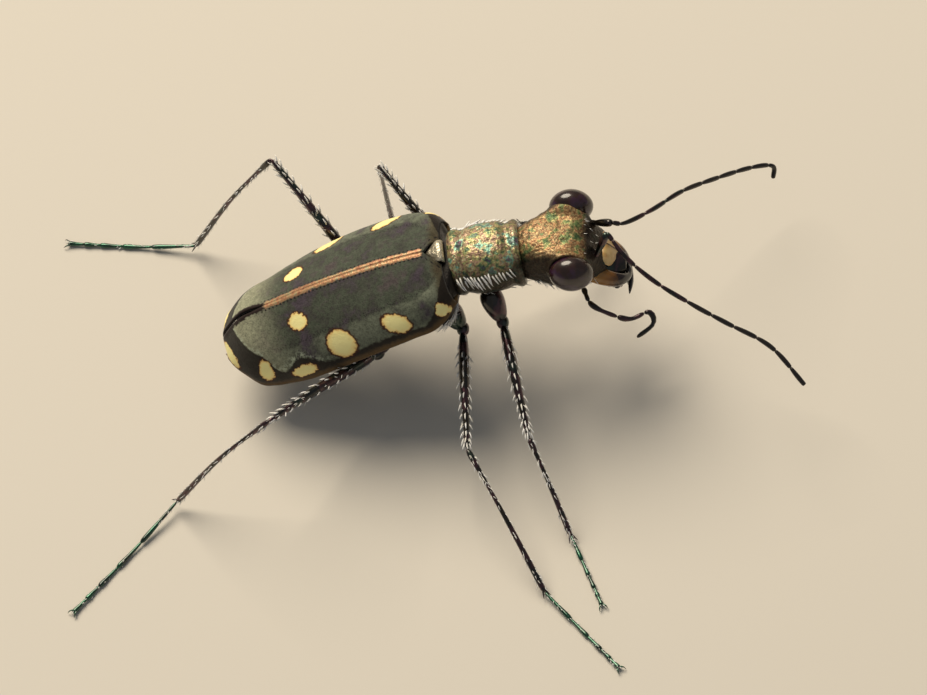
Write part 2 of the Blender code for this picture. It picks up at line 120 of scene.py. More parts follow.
NECK = np.array([3.2, 0, 5.6])
HEAD_YAW = math.radians(-5)
HEAD_ROLL = math.radians(-4)
HEAD_PROFILE = ((-0.1, 0.95, 0.98, -0.9), (0.45, 1.14, 1.2, -1.12), (1.0, 1.34, 1.26, -1.2),
                (1.6, 1.44, 1.2, -1.22), (2.2, 1.38, 1.08, -1.22), (2.62, 1.16, 0.82, -1.16),
                (2.9, 1.0, 0.42, -1.05), (3.14, 0.86, 0.06, -0.9))   # forward, half width, top, bottom
EYE_CENTRE = np.array([1.94, 1.55, 0.56])
EYE_SIZE = np.array([0.86, 0.62, 0.8])
FEELER_SOCKET = np.array([2.75, 0.72, 0.62])
# the brow, a ridge that rims each eye: its rise, and its middle and reach forward and out
BROW_RISE = 0.42
BROW_FORWARD = (1.7, 0.85)
BROW_OUT = (1.14, 0.3)
LABRUM_PROFILE = ((3.04, 0.64, 0.14), (3.2, 0.72, -0.02), (3.34, 0.73, -0.24), (3.44, 0.62, -0.44),
                  (3.49, 0.45, -0.55))

LEGS = {
    "fore_right": ((1.55, -0.7, 4.5), (1.9, -1.7, 3.5), (2.33, -6.41, 2.5), (3.3, -9.65, 0.42),
                   (4.2, -12.9, 0.2)),
    "fore_left": ((1.5, 0.7, 4.5), (1.7, 1.5, 3.5), (5.8, 2.2, 2.0), (2.7, 4.4, 0.42),
                  (0.0, 4.6, 0.2)),
    "middle_right": ((-0.2, -0.8, 3.95), (0.31, -1.5, 3.1), (-0.1, -6.46, 2.5), (2.06, -11.95, 0.42),
                     (4.63, -15.74, 0.2)),
    "middle_left": ((-0.2, 0.8, 3.95), (0.31, 1.5, 3.1), (-1.94, 4.49, 6.15), (-2.24, 5.23, 0.42),
                    (-6.3, 4.1, 0.2)),
    "hind_right": ((-2.5, -0.8, 3.1), (-3.15, -1.6, 2.4), (-7.32, -5.46, 5.3), (-11.76, -5.6, 0.6),
                   (-16.33, -9.65, 0.2)),
    "hind_left": ((-2.5, 0.8, 3.1), (-3.15, 1.6, 2.4), (-6.08, 5.46, 6.3), (-10.05, 5.6, 0.6),
                  (-15.2, 6.82, 0.2)),
}
# radii by the share of each length, at the real thickness
COXA_RADII = ((0, 0.42), (0.4, 0.46), (0.8, 0.33), (1, 0.24))
TROCHANTER_RADII = ((0, 0.2), (0.5, 0.25), (1, 0.18))
TROCHANTER_REACH = (0.28, 0.32)    # before and past the hip
FEMUR_RADII = ((0, 0.17), (0.12, 0.22), (0.3, 0.24), (0.6, 0.2), (0.85, 0.145), (0.95, 0.15), (1, 0.14))
TIBIA_RADII = ((0, 0.12), (0.04, 0.13), (0.12, 0.1), (0.6, 0.1), (0.93, 0.12), (1, 0.12))
TOE_RADII = ((0, 0.055), (0.5, 0.075), (0.85, 0.1), (1, 0.09))
TOE_CUTS = (0, 0.34, 0.56, 0.73, 0.85, 0.97)    # shares of the foot where its five segments meet
FEMUR_BOW = 0.1
TIBIA_BOW = 0.25
FOOT_HEIGHT = 0.1              # a foot's middle line above the floor
CLAW_ROOT = 0.95               # share of the foot
CLAW_LENGTH = 0.34
CLAW_RADII = ((0, 0.035), (0.6, 0.025), (1, 0.006))
SPUR_ROOT = 0.97               # share of the shin
SPUR_LENGTH = 0.45
SPUR_RADII = ((0, 0.04), (0.7, 0.025), (1, 0.008))

ANTENNAE = {
    "right": ((5.98, -0.88, 5.92), (6.6, -0.52, 6.95), (7.2, -1.49, 6.5), (8.19, -2.47, 5.95),
              (9.48, -3.31, 5.2), (10.58, -3.94, 4.6), (12.1, -4.83, 3.8), (13.16, -6.25, 2.95)),
    "left": ((5.95, 0.66, 5.88), (6.8, 0.15, 6.5), (7.3, 0.2, 6.25), (8.35, 0.85, 5.8),
             (9.5, 1.85, 5.1), (10.7, 2.6, 4.35), (12.1, 3.4, 3.4), (12.95, 3.68, 2.8),
             (12.9, 3.4, 2.35)),
}
SCAPE_RADII = ((0, 0.14), (0.2, 0.1), (0.45, 0.14), (0.8, 0.16), (1, 0.14))
FEELER_RADII = ((0, 0.065), (0.15, 0.08), (0.8, 0.095), (1, 0.085))
# shares of the whip where the ten segments after the scape meet
FEELER_CUTS = (0, 0.035, 0.17, 0.3, 0.42, 0.53, 0.63, 0.73, 0.82, 0.91, 1)
METALLIC_FEELER_CUTS = 4       # how many of them are bare and metallic

PALPS = {
    "maxillary_palp_right": ((2.1, -0.85, -1.55), (2.43, -1.63, -1.6), (3.27, -1.97, -1.98),
                             (3.87, -2.03, -2.19), (4.55, -1.74, -2.26), (4.68, -2.1, -2.55),
                             (3.99, -2.43, -2.92)),
    "maxillary_palp_left": ((2.1, 0.85, -1.55), (2.4, 1.5, -1.75), (2.9, 1.62, -2.25),
                            (3.25, 1.2, -2.8), (3.1, 0.75, -3.3)),
    "labial_palp_right": ((2.55, -0.38, -1.45), (2.95, -0.47, -1.88), (3.3, -0.4, -2.25),
                          (3.45, -0.15, -2.6)),
    "labial_palp_left": ((2.55, 0.38, -1.45), (2.95, 0.52, -1.9), (3.3, 0.56, -2.35),
                         (3.5, 0.52, -2.75)),
}
PALP_RADII = ((0, 0.1), (0.25, 0.12), (0.5, 0.085), (0.85, 0.09), (1, 0.075))
PALP_CUTS = (0, 0.14, 0.42, 0.66, 1)
MANDIBLES = {
    "right": ((2.5, -0.78, -0.62), (3.0, -0.92, -0.8), (3.5, -0.96, -1.0), (3.84, -0.72, -1.24),
              (3.93, -0.35, -1.36), (3.82, 0.05, -1.4)),
    "left": ((2.5, 0.6, -0.62), (3.0, 0.7, -0.84), (3.5, 0.52, -1.2), (3.78, 0.15, -1.5),
             (3.92, -0.4, -1.76), (3.86, -1.08, -1.88)),
}
MANDIBLE_RADII = ((0, 0.4), (0.3, 0.36), (0.5, 0.29), (0.7, 0.18), (0.88, 0.12), (1, 0.04))
MANDIBLE_TEETH = ((0.52, 0.34), (0.64, 0.3), (0.78, 0.24))   # share of the jaw, length
TOOTH_RADII = ((0, 0.12), (0.5, 0.085), (1, 0.02))
# the plate that closes the mouth between the jaws: forward, half width, top, bottom
MOUTH_PLATE = ((2.6, 0.8, -0.45, -1.3), (3.0, 0.78, -0.55, -1.35), (3.5, 0.66, -0.8, -1.4),
               (3.84, 0.42, -1.05, -1.45))

BRISTLE_RINGS = ((0, 1.0), (0.4, 0.8), (0.75, 0.5))    # shares of a bristle's length and thickness
BRISTLE_BEND = 0.18            # share of its length
BRISTLE_ROOT = 0.02            # how deep it stands in the surface
BRISTLE_PATCH = 0.003          # side of its patch on the coat's unwrap

CHANCE = np.random.default_rng(7)


# surfaces

def world(spots):
    """Turn the beetle's millimetres to metres in the row's frame."""
    return (np.asarray(spots, float) - FLOOR_CENTRE) * MM


def between(t, near, far, near_slope, far_slope):
    """A cubic curve from one value to the next, by their slopes."""
    return ((2 * t ** 3 - 3 * t ** 2 + 1) * near + (t ** 3 - 2 * t ** 2 + t) * near_slope
            + (3 * t ** 2 - 2 * t ** 3) * far + (t ** 3 - t ** 2) * far_slope)


def eased(table, at):
    """The other columns of a short table at a place in its first one, on smooth curves through its rows."""
    x, *columns = np.array(table, float).T
    at = np.clip(at, x[0], x[-1])
    row = np.clip(np.searchsorted(x, at, side="right") - 1, 0, len(x) - 2)
    span = x[row + 1] - x[row]
    slopes = [np.gradient(y, x) for y in columns]
    values = [between((at - x[row]) / span, y[row], y[row + 1], span * slope[row], span * slope[row + 1])
              for y, slope in zip(columns, slopes)]
    return values if len(values) > 1 else values[0]


def grain(spots, size):
    """Smooth noise from -1 to 1 at each place, in lumps of a size in mm."""
    at = np.asarray(spots) / np.asarray(size)
    cell = np.floor(at).astype(np.int64)
    rest = at - cell
    soft = rest * rest * (3 - 2 * rest)
    total = np.zeros(len(at))
    for corner in np.ndindex(2, 2, 2):
        key = (cell + corner) @ np.array([73856093, 19349663, 83492791])   # primes, to mix the three counts
        mixed = ((key ^ (key >> 13)) * 1274126177) & 0x7FFFFFFF
        share = np.prod(np.where(corner, soft, 1 - soft), axis=1)
        total += share * (mixed / 0x3FFFFFFF - 1)
    return total


def bump_at(x, middle, width):
    """A smooth bump of height 1."""
    return np.exp(-((x - middle) / width) ** 2)


def unit(arrows):
    return arrows / np.maximum(np.linalg.norm(arrows, axis=-1, keepdims=True), 1e-12)


def course(points, shares):
    """Places and directions at shares of the length of a smooth curve through a few points."""
    posts = np.array(points, float)
    posts = np.vstack([2 * posts[0] - posts[1], posts, 2 * posts[-1] - posts[-2]])
    t = np.linspace(0, 1, 16, endpoint=False)[:, None]
    run = [between(t, b, c, (c - a) / 2, (d - b) / 2)
           for a, b, c, d in zip(posts, posts[1:], posts[2:], posts[3:])]
    run = np.vstack([*run, posts[-2]])
    length = np.concatenate([[0], np.cumsum(np.linalg.norm(np.diff(run, axis=0), axis=1))])
    goal = np.asarray(shares) * length[-1]
    heading = np.gradient(run, length, axis=0)
    spots = np.stack([np.interp(goal, length, run[:, axis]) for axis in range(3)], -1)
    return spots, unit(np.stack([np.interp(goal, length, heading[:, axis]) for axis in range(3)], -1))


def circle(u):
    """Sine and cosine of the turn that u stands for."""
    return np.sin(2 * np.pi * u), np.cos(2 * np.pi * u)


def bunched(v):
    """Shares of a length that lie closer together near its two ends."""
    return (1 - np.cos(np.pi * v)) / 2


def rod(points, radii, span=(0, 1), blunt=12, flat=1.0, up=(0, 0, 1)):
    """A closed round surface along part of a curve, with rounded ends; flat narrows it across."""
    chord = np.array(points[-1], float) - np.array(points[0], float)
    level = unit(np.cross(chord, up))

    def shape(u, v):
        share = bunched(v)
        spots, onward = course(points, span[0] + (span[1] - span[0]) * share)
        upward = unit(np.cross(level, onward))
        across = np.cross(onward, upward)
        radius = eased(radii, share) * np.sqrt(np.maximum(0, 1 - np.abs(2 * share - 1) ** blunt))
        up, out = circle(u[:, None])
        return spots + radius[:, None] * (flat * across * out + upward * up)

    return shape


def inner(v):
    """The grid's v, stretched to leave out its share at each pole."""
    return np.clip((v - POLE) / (1 - 2 * POLE), 0, 1)


def drawn_in(shape):
    """A round surface with its two ends drawn in to a pole."""
    ring = np.linspace(0, 1, 24, endpoint=False)
    ends = np.stack([shape(ring, np.full(24, end)).mean(0) for end in (0.0, 1.0)])

    def whole(u, v):
        reach = np.clip(np.minimum(v, 1 - v) / POLE, 0, 1)[:, None]
        return ends[(v > 0.5).astype(int)] * (1 - reach) + shape(u, inner(v)) * reach

    return whole


def through(sections):
    """A smooth surface through a row of sections, each a function of u, with its ends drawn in."""
    def shape(u, v):
        rims = np.stack([section(u) for section in sections])
        slope = np.gradient(rims, axis=0)
        at = v * (len(sections) - 1)
        row = np.clip(np.floor(at).astype(int), 0, len(sections) - 2)
        near, far = (row, np.arange(len(u))), (row + 1, np.arange(len(u)))
        return between((at - row)[:, None], rims[near], rims[far], slope[near], slope[far])

    return drawn_in(shape)


def lay(mesh, shape, cells, chart=None, marks=None):
    """Lay a grid of faces on a surface, in a mesh. chart turns u and v to the UV map's own numbers, and
    marks gives each vertex attribute, as a number or as a function of u and v."""
    layer = mesh.loops.layers.uv.get("UVMap") or mesh.loops.layers.uv.new("UVMap")
    marks = marks or {}
    values = mesh.verts.layers.float
    held = {name: values.get(name) or values.new(name) for name in marks}
    made = bmesh.ops.create_grid(mesh, x_segments=cells[0], y_segments=cells[1], size=0.5)["verts"]
    flat = np.array([vert.co.xy for vert in made]) + 0.5
    u, v = flat[:, 0], flat[:, 1]
    sheet = np.stack(chart(u, v), -1) if chart else flat
    for vert, spot, mark in zip(made, world(shape(u, v)), sheet):
        vert.co = spot
        for loop in vert.link_loops:
            loop[layer].uv = mark
    for name, rule in marks.items():
        for vert, value in zip(made, rule(u, v) if callable(rule) else repeat(rule)):
            vert[held[name]] = value
    return made


def closed(mesh, shape, cells, chart=None, marks=None):
    """Lay a surface whose edges meet, welded and facing outward."""
    made = lay(mesh, shape, cells, chart, marks)
    faces = {face for vert in made for face in vert.link_faces}
    bmesh.ops.remove_doubles(mesh, verts=made, dist=WELD)
    bmesh.ops.recalc_face_normals(mesh, faces=[face for face in faces if face.is_valid])


def placed(name, data):
    """A new object in the scene."""
    thing = bpy.data.objects.new(name, data)
    bpy.context.scene.collection.objects.link(thing)
    return thing


def piece(name, shape, look, nodes=()):
    """Make the object, riding on the beetle's one body and standing for its solids. A look is a material
    and the name of its slot; the slot is not used."""
    data = shape
    if isinstance(shape, bmesh.types.BMesh):
        data = bpy.data.meshes.new(name)
        shape.to_mesh(data)
        shape.free()
    finish, slot = look
    data.shade_smooth()
    data.materials.append(finish)
    thing = placed(name, data)
    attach(thing, "root")
    if nodes:
        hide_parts(*nodes)
    return thing


def form(name, surfaces, look, nodes=()):
    """Make a piece of closed surfaces, each given as closed takes it."""
    mesh = bmesh.new()
    for surface in surfaces:
        closed(mesh, *surface)
    piece(name, mesh, look, nodes)


def open_shell(name, surface, look, nodes, wall):
    """Make a piece of one open sheet that faces up, with a wall inward of it, in mm."""
    mesh = bmesh.new()
    lay(mesh, *surface)
    bmesh.ops.remove_doubles(mesh, verts=mesh.verts, dist=WELD)
    mesh.normal_update()
    if sum(face.normal.z for face in mesh.faces) < 0:
        bmesh.ops.reverse_faces(mesh, faces=mesh.faces)
    inward = piece(name, mesh, look, nodes).modifiers.new("wall", "SOLIDIFY")
    inward.thickness = wall * MM
    inward.offset = -1


# materials

def tone(code):
    """A colour given as an sRGB hex value, turned to linear."""
    parts = [int(code[at:at + 2], 16) / 255 for at in (1, 3, 5)]
    return (*(part / 12.92 if part <= 0.04045 else ((part + 0.055) / 1.055) ** 2.4 for part in parts), 1)


def add(tree, kind, sockets=(), stops=(), give=0, **settings):
    """Add a node with its settings, set or link its sockets, by name or in their order, and give one of its
    outputs."""
    node = tree.nodes.new("ShaderNode" + kind)
    for key, value in settings.items():
        setattr(node, key, value)
    for place, (at, code) in enumerate(stops):
        held = node.color_ramp.elements
        stop = held[place] if place < len(held) else held.new(at)
        stop.position = at
        stop.color = tone(code)
    for key, value in sockets.items() if isinstance(sockets, dict) else enumerate(sockets):
        if isinstance(value, bpy.types.NodeSocket):
            tree.links.new(value, node.inputs[key])
        else:
            node.inputs[key].default_value = value
    return node.outputs[give]


def pattern(tree, kind, size, give=0, **values):
    """A noise or cell texture whose lumps have a size in mm."""
    place = add(tree, "TexCoord", give="Object")
    return add(tree, "Tex" + kind, {"Vector": place, "Scale": 1 / (size * MM), **values}, give=give)


def start(name, **values):
    """A new material with its shader's constant values set: it, its tree and its shader."""
    finish = bpy.data.materials.new(name)
    finish.use_nodes = True
    shader = finish.node_tree.nodes["Principled BSDF"]
    for key, value in values.items():
        shader.inputs[key.replace("_", " ")].default_value = value
    return finish, finish.node_tree, shader


def dress(tree, shader, colour, height=None, strength=0.0, depth=0.0, **settings):
    """Give the shader its colour, and the relief of a height that is depth mm deep."""
    tree.links.new(colour, shader.inputs["Base Color"])
    if height is not None:
        sockets = {"Height": height, "Strength": strength, "Distance": depth * MM}
        tree.links.new(add(tree, "Bump", sockets, **settings), shader.inputs["Normal"])


def spot_field(tree, chart, marks):
    """Distance from the nearest spot's middle, where 1 is its edge."""
    field = None
    for back, out, half_length, half_width, turn in marks:
        local = add(tree, "Mapping", (chart, (back, out, 0), (0, 0, math.radians(turn)),
                                      (half_length, half_width, 1)), vector_type="TEXTURE")
        far = add(tree, "VectorMath", [local], give="Value", operation="LENGTH")
        field = far if field is None else add(tree, "Math", (field, far), operation="MINIMUM")
    return field


def mask(tree, *fades):
    """The product of some fades. A fade is a share, or (value, full, none): 1 where the value reaches full,
    falling to 0 at none."""
    total = None
    for fade in fades:
        if isinstance(fade, tuple):
            value, full, none = fade
            fade = add(tree, "MapRange", (value, none, full), interpolation_type="SMOOTHSTEP")
        total = fade if total is None else add(tree, "Math", (total, fade), operation="MULTIPLY")
    return total


def paint(tree, ground, *layers):
    """Lay colours over a ground, one by one. A layer is a hex value or a node's colour, and its fades."""
    for colour, *fades in layers:
        colour = tone(colour) if isinstance(colour, str) else colour
        sockets = {"Factor": mask(tree, *fades), 6: ground, 7: colour}
        ground = add(tree, "Mix", sockets, give=2, data_type="RGBA")
    return ground


def velvet_case(side):
    """Wing case: chitin with a dense pile of microscopic granules, which kills all gloss and gives a soft
    grey bloom at a grazing view; cream spots are bare of pigment, the seam keeps a copper tint."""
    finish, tree, shader = start(f"Velvety granular wing case, {side}", Sheen_Weight=0.2,
                                 Sheen_Roughness=0.4, Specular_IOR_Level=0.3)
    chart = add(tree, "UVMap", uv_map="UVMap")
    wander = pattern(tree, "Noise", 0.2, "Color", Detail=4, Roughness=0.7)
    drift = add(tree, "VectorMath", (wander, (0.5, 0.5, 0.5)), operation="SUBTRACT")
    nudge = add(tree, "VectorMath", (drift, (0.36, 0.36, 0)), operation="MULTIPLY")
    in_mm = add(tree, "VectorMath", (chart, (10, 10, 0)), operation="MULTIPLY")
    warped = add(tree, "VectorMath", (in_mm, nudge), operation="ADD")
    back, out = (add(tree, "SeparateXYZ", [warped], give=axis) for axis in "XY")
    ragged = add(tree, "SeparateXYZ", [nudge], give="X")
    marks = (add(tree, "Attribute", give="Fac", attribute_name=mark) for mark in ("edge", "past_disc"))
    edge, past_disc = (add(tree, "Math", (mark, ragged), operation="ADD") for mark in marks)
    clouds = pattern(tree, "Noise", 1.1, Detail=5, Roughness=0.65)
    blotch = pattern(tree, "Noise", 0.16, Detail=4, Roughness=0.7)
    specks = pattern(tree, "Voronoi", 0.07)
    ground = add(tree, "ValToRGB", [clouds], stops=((0.36, "#403840"), (0.46, "#393b33"), (0.54, "#3f4639"),
                                                    (0.66, "#443d3d")))
    ground = paint(tree, ground,
                   # the pale outer band, partly the case's own paler margin and partly painted sheen, and the
                   # dark line that bounds it
                   ("#5f6455", (edge, 1.55, 1.75), (clouds, 0.58, 0.3)),
                   ("#1c1b19", 0.6, (edge, 1.74, 1.66), (edge, 1.82, 1.92), (specks, 0.3, 0.44)),
                   # the paler rear, its pale flecks by the disc's border, and the brown front
                   ("#96977e", 0.8, (back, 8.6, 6.6)),
                   ("#a4ae98", 0.6, (past_disc, -0.06, -0.4), (blotch, 0.56, 0.46), (back, 6.6, 4.6)),
                   ("#463c28", 0.8, (back, 0.1, 0.45)))
    grains = add(tree, "MapRange", (specks, 0.1, 0.5, 0.7, 1.2))
    lumps = add(tree, "MapRange", (blotch, 0.3, 0.7, 0.7, 1.36))
    ground = add(tree, "VectorMath", {0: ground, "Scale": mask(tree, grains, lumps)}, operation="SCALE")
    strip = mask(tree, (out, 0.13, 0.19), (back, 7.3, 7.5), (back, 0.62, 0.52))
    copper = add(tree, "ValToRGB", [wander], stops=((0.38, "#885444"), (0.5, "#b88c66"), (0.6, "#a89e7a")))
    field = spot_field(tree, warped, (*SPOTS[side], *SPOTS_ON_BOTH))
    ground = paint(tree, ground,
                   # painted shade on the steep fall beyond the disc, and the brown lip, its own brown
                   # lightened by painted warm reflected light
                   ("#180f07", 0.97, (past_disc, 0.06, -0.08)),
                   ("#5a4526", (edge, 0.1, 0.4)),
                   # the copper strip, the parted tips, and the pits beside the seam
                   (copper, strip),
                   ("#1e0f0a", (out, 0.12, 0.2), (back, 7.5, 7.35)),
                   ("#14110f", dotted_row(tree, in_mm), (back, 7.4, 7.8)),
                   # the rims of the spots
                   ("#3a1a0c", (field, 1.1, 1.26)))
    inside = mask(tree, (field, 0.98, 1.06))
    cream = add(tree, "ValToRGB", [field], stops=((0.6, "#fff4ac"), (0.88, "#ffea9c"), (1.0, "#e6b86e")))
    bare = add(tree, "Math", (1.0, inside), operation="SUBTRACT")
    metal = mask(tree, strip, bare, 0.4)
    tree.links.new(metal, shader.inputs["Metallic"])
    gloss = add(tree, "MapRange", (metal, 0, 0.4, 0.8, 0.42))
    tree.links.new(gloss, shader.inputs["Roughness"])
    grit = add(tree, "Math", (specks, pattern(tree, "Noise", 0.05, Detail=2)), operation="ADD")
    dress(tree, shader, paint(tree, ground, (cream, inside)), grit, 0.5, 0.012)
    return finish, "velvet"


def dotted_row(tree, in_mm):
    """A row of small pits on each side of the seam."""
    back, out = (add(tree, "SeparateXYZ", [in_mm], give=axis) for axis in "XY")
    step = add(tree, "Math", (back, PIT_SPACING), operation="PINGPONG")
    along = add(tree, "Math", (step, PIT_SPACING / 2), operation="SUBTRACT")
    across = add(tree, "Math", (out, PIT_OUT), operation="SUBTRACT")
    offset = add(tree, "CombineXYZ", (along, across))
    far = add(tree, "VectorMath", [offset], give="Value", operation="LENGTH")
    return mask(tree, (far, 0.02, 0.055))


def bronze_cuticle(name, hues, slot="bronze", roughness=0.34, grit=0.1, contrast=(0.35, 1.3)):
    """Bare cuticle with a metallic structural colour, olive gold with green, mint and copper patches; its
    fine granular sculpture breaks the sheen into bright and dark points. The sculpture's height also
    lightens the colour on its ridges and darkens it in its hollows: painted light and shade."""
    finish, tree, shader = start(name, Metallic=0.45, Roughness=roughness)
    sweep = pattern(tree, "Noise", 0.5, Detail=4, Roughness=0.6)
    colour = add(tree, "ValToRGB", [sweep], stops=hues)
    grains = pattern(tree, "Noise", grit, Detail=3, Roughness=0.6)
    # the height of the sculpture lightens its ridges and darkens its hollows in the colour: painted light and
    # shade
    level, face = (add(tree, "Attribute", give="Fac", attribute_name=mark) for mark in ("height", "face"))
    mixed = add(tree, "Math", (grains, level), operation="ADD")
    light = add(tree, "MapRange", (mixed, 0.34, 0.66, *contrast))
    colour = add(tree, "VectorMath", {0: colour, "Scale": light}, operation="SCALE")
    fine = pattern(tree, "Voronoi", 0.06)
    relief = add(tree, "Math", (grains, mask(tree, fine, 0.3)), operation="ADD")
    # face paints the colour dark brown: a darker front of the face and rear of the shield plate, and painted
    # shade on the temples, the prothorax's flanks and the mesothorax
    dress(tree, shader, paint(tree, colour, ("#140d07", face)), relief, 0.8, 0.03)
    return finish, slot


def drifting(name, hues, slot, lump, detail=3, relief=(), domed=False, **values):
    """A material whose colour drifts between hues over lumps of a size in mm. Its relief, pitted or domed,
    is the cells' size in mm, a strength and a depth in mm."""
    finish, tree, shader = start(name, **values)
    colour = add(tree, "ValToRGB", [pattern(tree, "Noise", lump, Detail=detail)], stops=hues)
    if relief:
        size, strength, depth = relief
        dress(tree, shader, colour, pattern(tree, "Voronoi", size), strength, depth, invert=domed)
    else:
        dress(tree, shader, colour)
    return finish, slot


def leg_cuticle(name, hues, roughness=0.3):
    """Smooth hard leg shell, dark with a copper, pink and green metal sheen that changes along it."""
    return drifting(name, hues, "leg", 1.1, relief=(0.07, 0.2, 0.012), Metallic=0.8, Roughness=roughness,
                    Coat_Weight=0.7, Coat_Roughness=0.12, Coat_IOR=1.6)


def eye_lens():
    """Compound eye: clear lenses over dark red-brown pigment, packed so fine that it looks polished. Real
    lenses are about 0.02 mm across; they are drawn at 0.04 mm, so that they show."""
    return drifting("Faceted eye over dark pigment", ((0.3, "#160702"), (0.5, "#2a1207"), (0.66, "#331632")),
                    "eye", 0.5, 2, (0.04, 0.18, 0.01), True, Roughness=0.42, Specular_IOR_Level=0.2,
                    Coat_Weight=1.0, Coat_Roughness=0.13, Coat_IOR=1.52)


def ivory_horn():
    """Unpigmented horn of the lip: warm, slightly see-through, polished by wear, with a brown ridge."""
    finish, tree, shader = start("Ivory horn of the lip", Roughness=0.32, Subsurface_Weight=0.15,
                                 Subsurface_Scale=0.0002)
    sweep = pattern(tree, "Noise", 0.3, Detail=3)
    pale = add(tree, "ValToRGB", [sweep], stops=((0.3, "#b98d4e"), (0.6, "#d6b67e")))
    across = add(tree, "SeparateXYZ", [add(tree, "UVMap", uv_map="UVMap")], give="X")
    middle = add(tree, "Math", (across, 0.5), operation="SUBTRACT")
    middle = add(tree, "Math", [middle], operation="ABSOLUTE")
    ridge = add(tree, "MapRange", (middle, 0.035, 0.015))
    dress(tree, shader, paint(tree, pale, ("#4a3018", ridge)), sweep, 0.2, 0.02)
    return finish, "ivory"


def jaw_horn():
    """Jaw: yellow-brown horn at the root that hardens to polished black at the teeth."""
    finish, tree, shader = start("Jaw horn, pale root and black teeth", Roughness=0.22, Coat_Weight=0.4)
    share = add(tree, "Attribute", give="Fac", attribute_name="share")
    sweep = pattern(tree, "Noise", 0.25, Detail=3)
    blur = add(tree, "Math", (share, mask(tree, sweep, 0.2)), operation="ADD")
    colour = add(tree, "ValToRGB", [blur], stops=((0.2, "#a8782e"), (0.42, "#8a5a1e"), (0.55, "#241008"),
                                                  (0.7, "#0c0808")))
    dress(tree, shader, colour, sweep, 0.25, 0.02)
    return finish, "ivory"


def white_bristle():
    """Bristle: hollow clear horn that scatters light to a silky white."""
    return drifting("Silky white bristle", ((0.3, "#fbf8ec"), (0.6, "#ffffff")), "leg", 0.4, 2,
                    Roughness=0.45, Sheen_Weight=0.3)


# trunk

def on_back(back, side, height):
    """Points of the wing cases' frame: distance back from the seam's front end, left, up."""
    forward = np.array([math.cos(BACK_SLOPE), 0, math.sin(BACK_SLOPE)])
    upward = np.array([-math.sin(BACK_SLOPE), 0, math.cos(BACK_SLOPE)])
    base = np.zeros((len(side), 3))
    base[:, 1] = side
    base[:, 2] = SEAM_HEIGHT
    return base - np.reshape(back, (-1, 1)) * forward + np.reshape(height, (-1, 1)) * upward


def arch(half, top, low, roof, turn):
    """Distance out and height of a wing case's section, by the turn from the seam to the margin."""
    out = half * np.maximum(np.sin(turn), 0) ** (2 / CASE_SQUARENESS)
    rise = np.maximum(np.cos(turn), 0) ** (2 / CASE_SQUARENESS)
    return out, top - roof * out - (top - low - roof * half) * (1 - rise)


def notch(back):
    """Half width of the gap between the wing cases: the plate's notch, the tight seam, the parted tips."""
    plate = SCUTELLUM_HALF_WIDTH * np.clip((-SCUTELLUM_REAR - back) / 0.5, 0, 1) ** 0.8
    return 0.004 + plate + 0.08 * np.clip((back - 7.3) / 0.8, 0, 1)


def wing_case(side, u, v):
    """A wing case from the seam to the margin and, past it, the fold that hugs the body."""
    back = CASE_LENGTH * v
    half, top, low, roof = eased(WING_CASE, back)
    gap = notch(back)
    over = np.clip(u / CASE_FOLD, 0, 1)
    out, height = arch(half - gap, top, low, roof, over * np.pi / 2)
    out = out + gap
    under = np.clip((u - CASE_FOLD) / (1 - CASE_FOLD), 0, 1)
    fold = FOLD_REACH * np.sin(np.clip(half / 2, 0, 1) * np.pi / 2)
    out = out - fold * under ** 1.6
    height = height - 0.1 * np.sin(under * np.pi * 0.5)
    rolled = np.clip(1 - back / 0.35, 0, 1) ** 2.2
    height = height - 0.3 * rolled * (1 - 0.5 * over) - 0.2 * np.clip((back - 9.75) / 0.25, 0, 1) ** 2
    seam = bump_at(out - gap, 0.05, 0.09)
    shoulder = bump_at(back, 0.75, 0.4) * bump_at(out, 1.9, 0.35) * 0.07
    hollow = bump_at(back, 0.9, 0.6) * bump_at(out, 1.25, 0.4) * 0.07
    lip = bump_at(over, 0.985, 0.02) * 0.02
    spots = on_back(back, side * (out + lip), height + 0.025 * seam + shoulder - hollow)
    lumps = grain(spots, 0.6) * 0.012 + grain(spots, 0.11) * 0.006
    return spots + np.stack([lumps * 0.3, lumps * 0.2 * side, lumps], -1) * (over < 0.97)[:, None]


def over_shell(side, u, v, steps=28):
    """Distance over the shell from the seam to u, in mm, on the row of v."""
    total = np.zeros(len(u))
    before = wing_case(side, np.zeros(len(u)), v)
    for step in range(1, steps + 1):
        here = wing_case(side, u * step / steps, v)
        total += np.linalg.norm(here - before, axis=1)
        before = here
    return total


def build_wing_cases(looks):
    rows = np.linspace(0, 1, 80)
    for side, name in ((1, "left"), (-1, "right")):
        reach = over_shell(side, np.full(len(rows), CASE_FOLD), rows)

        def chart(u, v, side=side):
            return v * CASE_LENGTH / 10, over_shell(side, u, v) / 10

        def edge(u, v, side=side, reach=reach):
            return np.interp(v, rows, reach) - over_shell(side, u, v)

        def past_disc(u, v, edge=edge):
            return eased(DISC_BORDER, v * CASE_LENGTH) - edge(u, v)

        open_shell(f"wing_case_{name}",
                   (partial(wing_case, side), (84, 230), chart, {"edge": edge, "past_disc": past_disc}),
                   looks[f"velvet_{name}"], [f"elytron_{name}"], CASE_WALL)


def scutellum(u, v):
    """The small pointed plate between the front ends of the wing cases, slightly domed."""
    forward = SCUTELLUM_REAR + (SCUTELLUM_FRONT - SCUTELLUM_REAR) * v
    half = (SCUTELLUM_HALF_WIDTH - 0.03) * np.clip(v / 0.66, 0, 1) ** 0.8
    out = 2 * u - 1
    height = SCUTELLUM_TOP + np.minimum(forward, 0) * math.sin(BACK_SLOPE) + 0.09 * (1 - out ** 2) * v ** 0.5
    height = height - 0.16 * np.clip((v - 0.8) / 0.2, 0, 1) ** 2 - 0.05 * out ** 4
    spots = np.stack([forward, out * half, height], -1)
    spots[:, 2] += grain(spots, 0.1) * 0.012
    return spots


